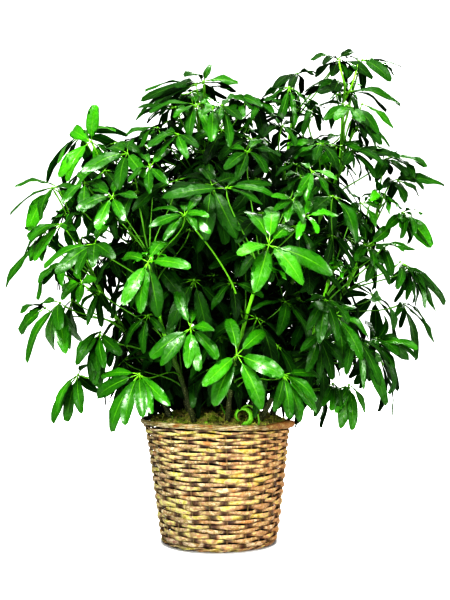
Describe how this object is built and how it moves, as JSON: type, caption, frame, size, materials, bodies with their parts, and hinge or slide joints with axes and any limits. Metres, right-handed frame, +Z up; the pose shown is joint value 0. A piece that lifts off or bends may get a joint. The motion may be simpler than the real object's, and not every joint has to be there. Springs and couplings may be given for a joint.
{
  "type": "potted umbrella plant",
  "caption": "Bushy potted umbrella plant with palm-like compound leaves on woody stems, in a nursery pot hidden by moss inside a woven wicker basket.",
  "frame": {"origin": "centre of the basket's underside, on the surface it stands on", "axes": "+Z up along the basket's axis, the front of the plant faces -Y, +X to the right as seen from the front"},
  "size_m": [0.7163, 0.6393, 0.8231],
  "materials": {
    "wicker": "woven rush and cane, straw and tan, varnished satin",
    "rim_cane": "rolled cane, orange brown, satin",
    "pot_plastic": "dark moulded plastic",
    "soil": "damp crumbly potting soil",
    "moss": "dry olive and brown moss",
    "bark": "smooth green-brown bark with leaf scars",
    "leaf": "glossy leathery leaf, mid to dark green",
    "young_leaf": "glossy young leaf, light green",
    "petiole": "smooth lime green leaf stalk"
  },
  "bodies": {
    "root": {"basket_base": "wicker", "basket_wall": "wicker", "basket_rim": "rim_cane", "grow_pot": "pot_plastic", "soil": "soil", "moss": "moss", "stem_tall_right": "bark", "stem_top_centre": "bark", "stem_top_right": "bark", "stem_top_left": "bark", "stem_far_left": "bark", "stem_front_centre": "bark", "stem_far_right": "bark", "stem_back_centre": "bark", "stem_back_left": "bark", "stem_back_right": "bark", "stem_front_left": "bark", "stem_front_right": "bark", "leaf_01": "leaf", "leaf_02": "leaf", "leaf_03": "leaf", "leaf_04": "leaf", "leaf_05": "leaf", "leaf_06": "leaf", "leaf_07": "leaf", "leaf_08": "leaf", "leaf_09": "leaf", "leaf_10": "leaf", "leaf_11": "leaf", "leaf_12": "leaf", "leaf_13": "leaf", "leaf_14": "leaf", "leaf_15": "leaf", "leaf_16": "leaf", "leaf_17": "leaf", "leaf_18": "leaf", "leaf_19": "leaf", "leaf_20": "leaf", "leaf_21": "leaf", "leaf_22": "leaf", "leaf_23": "leaf", "leaf_24": "leaf", "leaf_25": "leaf", "leaf_26": "leaf", "leaf_27": "leaf", "leaf_28": "leaf", "leaf_29": "leaf", "leaf_30": "leaf", "leaf_31": "leaf", "leaf_32": "leaf", "leaf_33": "leaf", "leaf_34": "leaf", "leaf_35": "leaf", "leaf_36": "leaf", "leaf_37": "leaf", "leaf_38": "leaf", "leaf_39": "leaf", "leaf_40": "leaf", "leaf_41": "leaf", "leaf_42": "leaf"}
  },
  "joints": []
}
